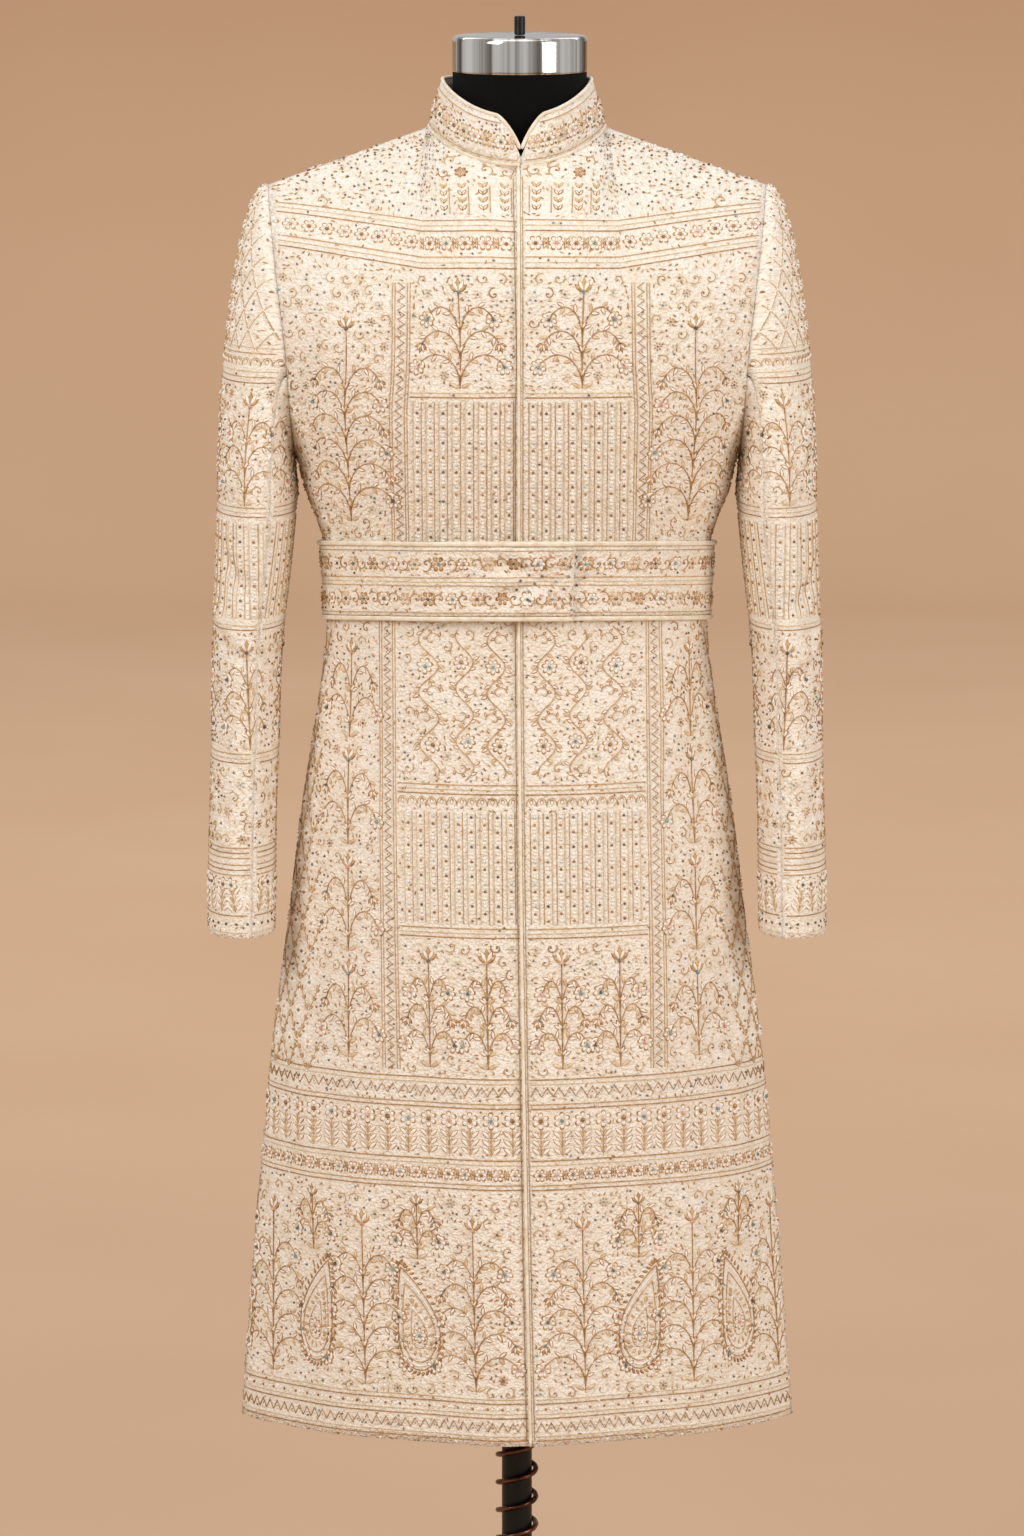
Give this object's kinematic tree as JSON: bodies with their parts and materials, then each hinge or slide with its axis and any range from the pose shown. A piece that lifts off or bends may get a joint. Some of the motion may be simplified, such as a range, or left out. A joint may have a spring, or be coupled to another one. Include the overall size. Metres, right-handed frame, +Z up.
{
  "type": "sherwani coat on dress form",
  "caption": "Knee-length embroidered sherwani coat with band collar and belt, worn by a limbless dress form on a pole stand.",
  "frame": {"origin": "centre of the stand's base on the floor", "axes": "+Z up; the coat's front faces -Y; +X is the wearer's left"},
  "size_m": [0.5474, 0.38, 1.624],
  "materials": {
    "silk": "ivory raw silk with tone-on-tone gold and beige embroidery",
    "trim": "cream and gold edge cord",
    "jersey": "black knitted cover",
    "cap_metal": "polished",
    "stand_metal": "satin black",
    "wire": "dull copper-brown wire"
  },
  "bodies": {
    "root": {"front_left": "silk", "front_right": "silk", "back": "silk", "sleeve_left_top": "silk", "sleeve_left_under": "silk", "sleeve_right_top": "silk", "sleeve_right_under": "silk", "collar": "silk", "collar_piping": "trim", "front_piping": "trim", "belt": "silk", "belt_piping_top": "trim", "belt_piping_bottom": "trim", "form_torso": "jersey", "neck_cap": "cap_metal", "cap_finial": "stand_metal", "pole": "stand_metal", "pole_spiral": "wire", "base": "stand_metal"}
  },
  "joints": []
}
